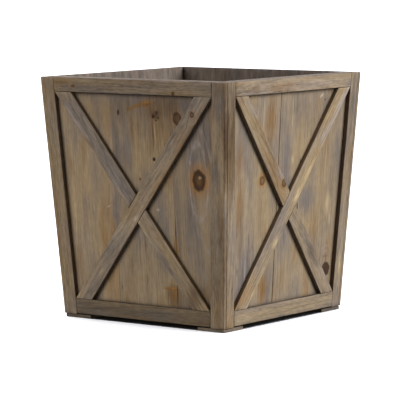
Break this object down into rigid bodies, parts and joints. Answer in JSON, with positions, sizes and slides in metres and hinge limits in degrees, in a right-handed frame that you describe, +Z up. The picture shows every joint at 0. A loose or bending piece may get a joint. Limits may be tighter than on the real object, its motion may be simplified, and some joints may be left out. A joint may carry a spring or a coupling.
{
  "type": "planter box",
  "caption": "Square timber planter that flares towards an open top, each side framed with stiles, rails and a diagonal cross brace, standing on corner foot pads.",
  "frame": {"origin": "centre of the footprint, on the plane that the undersides of the four foot pads stand on", "axes": "+Z up through the open top; -Y towards the front side and +X towards the right side, the two that are seen together"},
  "size_m": [0.4, 0.4, 0.4212],
  "materials": {
    "strip_wood": "weathered grey-brown softwood, dry and matt",
    "board_wood": "weathered grey-brown softwood with knots and orange resin streaks, matt",
    "inner_wood": "rough grey softwood, matt",
    "foot_wood": "sawn softwood, matt",
    "brad_steel": "steel brads gone dull and brown"
  },
  "bodies": {
    "root": {"back_board_1": "board_wood", "back_board_2": "board_wood", "back_board_3": "board_wood", "back_brace_long": "strip_wood", "back_brace_lower": "strip_wood", "back_brace_upper": "strip_wood", "back_rail_bottom": "strip_wood", "back_rail_top": "strip_wood", "back_stile_left": "strip_wood", "back_stile_right": "strip_wood", "brads_corners": "brad_steel", "brads_feet": "brad_steel", "brads_slats": "brad_steel", "brads_strips": "brad_steel", "cleat_back": "inner_wood", "cleat_front": "inner_wood", "cleat_left": "inner_wood", "cleat_right": "inner_wood", "floor_slat_1": "inner_wood", "floor_slat_2": "inner_wood", "floor_slat_3": "inner_wood", "floor_slat_4": "inner_wood", "foot_back_left": "foot_wood", "foot_back_right": "foot_wood", "foot_front_left": "foot_wood", "foot_front_right": "foot_wood", "front_board_1": "board_wood", "front_board_2": "board_wood", "front_board_3": "board_wood", "front_brace_long": "strip_wood", "front_brace_lower": "strip_wood", "front_brace_upper": "strip_wood", "front_rail_bottom": "strip_wood", "front_rail_top": "strip_wood", "front_stile_left": "strip_wood", "front_stile_right": "strip_wood", "left_board_1": "board_wood", "left_board_2": "board_wood", "left_board_3": "board_wood", "left_brace_long": "strip_wood", "left_brace_lower": "strip_wood", "left_brace_upper": "strip_wood", "left_rail_bottom": "strip_wood", "left_rail_top": "strip_wood", "left_stile_left": "strip_wood", "left_stile_right": "strip_wood", "right_board_1": "board_wood", "right_board_2": "board_wood", "right_board_3": "board_wood", "right_brace_long": "strip_wood", "right_brace_lower": "strip_wood", "right_brace_upper": "strip_wood", "right_rail_bottom": "strip_wood", "right_rail_top": "strip_wood", "right_stile_left": "strip_wood", "right_stile_right": "strip_wood"}
  },
  "joints": []
}
